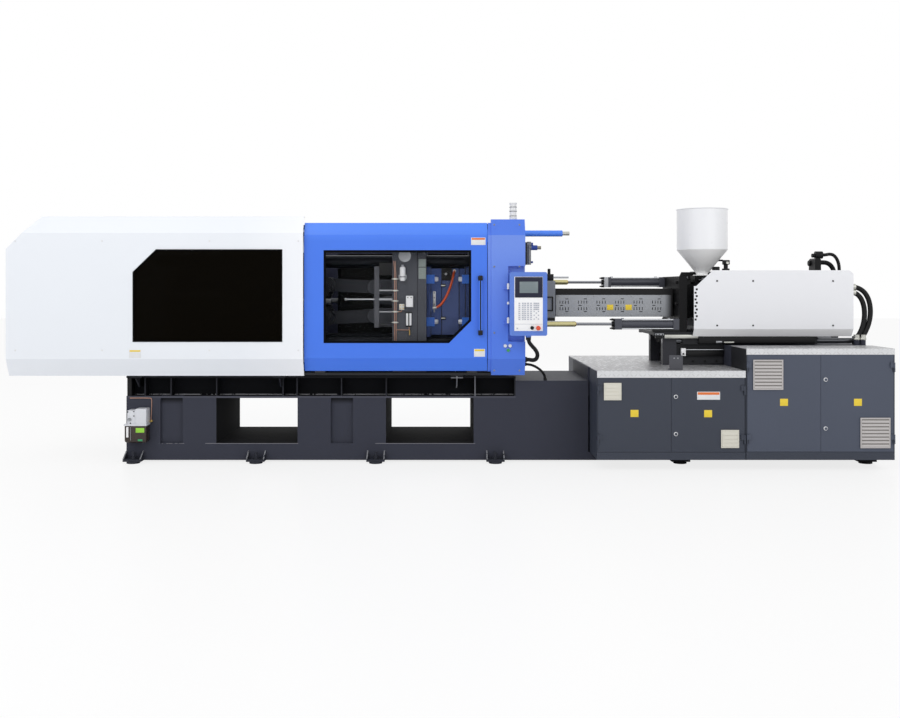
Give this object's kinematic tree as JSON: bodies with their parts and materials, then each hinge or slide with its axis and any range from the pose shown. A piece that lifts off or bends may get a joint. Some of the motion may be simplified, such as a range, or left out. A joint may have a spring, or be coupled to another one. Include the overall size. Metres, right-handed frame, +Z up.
{
  "type": "injection moulding machine",
  "caption": "Horizontal toggle injection moulding machine with guarded clamp, sliding safety doors, operator panel, heated barrel, hopper and cabinets.",
  "frame": {"origin": "on the floor under the middle of the machine's footprint", "axes": "+X along the machine from the clamp to the injection unit, +Y away from the operator, +Z up"},
  "size_m": [8.6602, 2.1275, 2.586],
  "materials": {
    "bed_paint": "satin structured paint",
    "cabinet_paint": "fine structured paint",
    "white_paint": "satin",
    "blue_paint": "satin",
    "platen_paint": "satin",
    "machined_steel": "machined",
    "hard_chrome": "polished",
    "mould_steel": "satin",
    "checker_plate": "checker plate",
    "smoked_pane": "tinted",
    "clear_pane": "clear",
    "panel_plastic": "moulded",
    "red_plastic": "gloss",
    "black_plastic": "moulded",
    "white_plastic": "gloss",
    "green_plastic": "gloss",
    "black_rubber": "matt",
    "orange_rubber": "satin",
    "hopper_paint": "satin",
    "black_steel": "matt",
    "motor_paint": "satin"
  },
  "bodies": {
    "root": {"carriage_guides": "hard_chrome", "clamp_bed": "bed_paint", "clamp_guards": "white_paint", "deck_plates": "checker_plate", "fixed_platen": "platen_paint", "front_cabinets": "cabinet_paint", "guard_frame": "bed_paint", "guard_windows": "smoked_pane", "injection_bed": "bed_paint", "levelling_feet": "bed_paint", "lubrication_pump": "white_plastic", "mould_fixed_half": "mould_steel", "panel_conduits": "black_rubber", "platen_covers": "blue_paint", "pump_motor": "motor_paint", "rear_cabinets": "cabinet_paint", "safety_bar_tube": "blue_paint", "signal_tower": "white_plastic", "tie_bars": "hard_chrome"},
    "tail": {"tail_platen": "platen_paint", "clamp_cylinder": "machined_steel", "die_height_nuts": "machined_steel"},
    "upper_rear_link": {"rear_link_upper": "machined_steel"},
    "lower_rear_link": {"rear_link_lower": "machined_steel"},
    "upper_front_link": {"front_link_upper": "machined_steel"},
    "lower_front_link": {"front_link_lower": "machined_steel"},
    "upper_cross_link": {"cross_link_upper": "machined_steel"},
    "lower_cross_link": {"cross_link_lower": "machined_steel"},
    "crosshead": {"crosshead": "machined_steel"},
    "moving_platen": {"moving_platen": "platen_paint", "mould_moving_half": "mould_steel", "safety_bar": "hard_chrome", "mould_hoses": "orange_rubber"},
    "ejector": {"ejector_plate": "machined_steel"},
    "front_door": {"safety_door_front": "blue_paint", "door_window_front": "clear_pane"},
    "rear_door": {"safety_door_rear": "blue_paint", "door_window_rear": "clear_pane"},
    "carriage": {"carriage_base": "bed_paint", "barrel": "machined_steel", "barrel_cover": "black_steel", "carriage_cylinders": "machined_steel", "injection_housing": "platen_paint", "injection_guard": "white_paint", "hopper": "hopper_paint", "hydraulic_hoses": "black_rubber"},
    "hopper_gate": {"hopper_gate": "machined_steel"},
    "injection_plate": {"injection_plate": "platen_paint"},
    "screw": {"screw": "machined_steel"},
    "purge_guard": {"purge_guard": "black_steel"},
    "control_panel": {"control_panel": "panel_plastic"},
    "emergency_stop": {"emergency_stop": "red_plastic"},
    "selector_knob": {"selector_knob": "black_plastic"},
    "start_button": {"start_button": "white_plastic"},
    "stop_button": {"stop_button": "white_plastic"},
    "reset_button": {"reset_button": "green_plastic"},
    "low_left_door": {"cabinet_door_low_left": "cabinet_paint"},
    "low_right_door": {"cabinet_door_low_right": "cabinet_paint"},
    "high_left_door": {"cabinet_door_high_left": "cabinet_paint"},
    "high_right_door": {"cabinet_door_high_right": "cabinet_paint"}
  },
  "joints": [
    {"name": "die_height", "type": "slide", "parent": "root", "child": "tail", "axis": [1, 0, 0], "range_m": [-0.4, 0]},
    {"name": "toggle_fold", "type": "hinge", "parent": "tail", "child": "upper_rear_link", "pos_m": [-1.718, 0, 1.75], "axis": [0, -1, 0], "range_deg": [0, 75.4]},
    {"name": "lower_toggle_fold", "type": "hinge", "parent": "tail", "child": "lower_rear_link", "pos_m": [-1.718, 0, 1.45], "axis": [0, 1, 0], "range_deg": [0, 75.4]},
    {"name": "upper_knee", "type": "hinge", "parent": "upper_rear_link", "child": "upper_front_link", "pos_m": [-1.21869, 0, 1.77617], "axis": [0, -1, 0], "range_deg": [-150.8, 0]},
    {"name": "lower_knee", "type": "hinge", "parent": "lower_rear_link", "child": "lower_front_link", "pos_m": [-1.21869, 0, 1.42383], "axis": [0, 1, 0], "range_deg": [-150.8, 0]},
    {"name": "platen_pin", "type": "hinge", "parent": "upper_front_link", "child": "moving_platen", "pos_m": [-0.71937, 0, 1.75], "axis": [0, -1, 0], "range_deg": [0, 75.4]},
    {"name": "upper_cross_pin", "type": "hinge", "parent": "upper_rear_link", "child": "upper_cross_link", "pos_m": [-1.46834, 0, 1.76308], "axis": [0, -1, 0], "range_deg": [-150.8, 0]},
    {"name": "lower_cross_pin", "type": "hinge", "parent": "lower_rear_link", "child": "lower_cross_link", "pos_m": [-1.46834, 0, 1.43692], "axis": [0, 1, 0], "range_deg": [-150.8, 0]},
    {"name": "crosshead_pin", "type": "hinge", "parent": "upper_cross_link", "child": "crosshead", "pos_m": [-1.21869, 0, 1.75], "axis": [0, -1, 0], "range_deg": [0, 75.4]},
    {"name": "ejector_stroke", "type": "slide", "parent": "moving_platen", "child": "ejector", "axis": [1, 0, 0], "range_m": [0, 0.055]},
    {"name": "front_door_slide", "type": "slide", "parent": "root", "child": "front_door", "axis": [-1, 0, 0], "range_m": [0, 1.68]},
    {"name": "rear_door_slide", "type": "slide", "parent": "root", "child": "rear_door", "axis": [-1, 0, 0], "range_m": [0, 1.68]},
    {"name": "carriage_stroke", "type": "slide", "parent": "root", "child": "carriage", "axis": [1, 0, 0], "range_m": [0, 0.35]},
    {"name": "hopper_gate_slide", "type": "slide", "parent": "carriage", "child": "hopper_gate", "axis": [0, -1, 0], "range_m": [0, 0.1]},
    {"name": "injection_stroke", "type": "slide", "parent": "carriage", "child": "injection_plate", "axis": [1, 0, 0], "range_m": [0, 0.3]},
    {"name": "screw_spin", "type": "hinge", "parent": "injection_plate", "child": "screw", "pos_m": [3, 0, 1.6], "axis": [1, 0, 0], "continuous": true},
    {"name": "purge_guard_slide", "type": "slide", "parent": "root", "child": "purge_guard", "axis": [1, 0, 0], "range_m": [0, 0.12]},
    {"name": "panel_swing", "type": "hinge", "parent": "root", "child": "control_panel", "pos_m": [0.622, -0.798, 1.59], "axis": [0, 0, -1], "range_deg": [0, 90]},
    {"name": "emergency_stop_press", "type": "slide", "parent": "control_panel", "child": "emergency_stop", "axis": [0, 1, 0], "range_m": [0, 0.006]},
    {"name": "selector_turn", "type": "hinge", "parent": "control_panel", "child": "selector_knob", "pos_m": [0.849, -0.92, 1.354], "axis": [0, -1, 0], "range_deg": [-45, 45]},
    {"name": "start_button_press", "type": "slide", "parent": "root", "child": "start_button", "axis": [0, 1, 0], "range_m": [0, 0.004], "stiffness_N_per_m": 300},
    {"name": "stop_button_press", "type": "slide", "parent": "root", "child": "stop_button", "axis": [0, 1, 0], "range_m": [0, 0.004], "stiffness_N_per_m": 300},
    {"name": "reset_button_press", "type": "slide", "parent": "root", "child": "reset_button", "axis": [0, 1, 0], "range_m": [0, 0.004], "stiffness_N_per_m": 300},
    {"name": "low_left_door_swing", "type": "hinge", "parent": "root", "child": "low_left_door", "pos_m": [1.466, -1.061, 0.6], "axis": [0, 0, -1], "range_deg": [0, 90]},
    {"name": "low_right_door_swing", "type": "hinge", "parent": "root", "child": "low_right_door", "pos_m": [2.862, -1.061, 0.6], "axis": [0, 0, 1], "range_deg": [0, 90]},
    {"name": "high_left_door_swing", "type": "hinge", "parent": "root", "child": "high_left_door", "pos_m": [2.89, -1.061, 0.6], "axis": [0, 0, -1], "range_deg": [0, 90]},
    {"name": "high_right_door_swing", "type": "hinge", "parent": "root", "child": "high_right_door", "pos_m": [4.285, -1.061, 0.6], "axis": [0, 0, 1], "range_deg": [0, 90]}
  ],
  "couplings": [
    {"joint": "lower_toggle_fold", "follows": "toggle_fold", "ratio": 1},
    {"joint": "upper_knee", "follows": "toggle_fold", "ratio": -2},
    {"joint": "lower_knee", "follows": "toggle_fold", "ratio": -2},
    {"joint": "platen_pin", "follows": "toggle_fold", "ratio": 1},
    {"joint": "upper_cross_pin", "follows": "toggle_fold", "ratio": -2},
    {"joint": "lower_cross_pin", "follows": "toggle_fold", "ratio": -2},
    {"joint": "crosshead_pin", "follows": "toggle_fold", "ratio": 1}
  ]
}
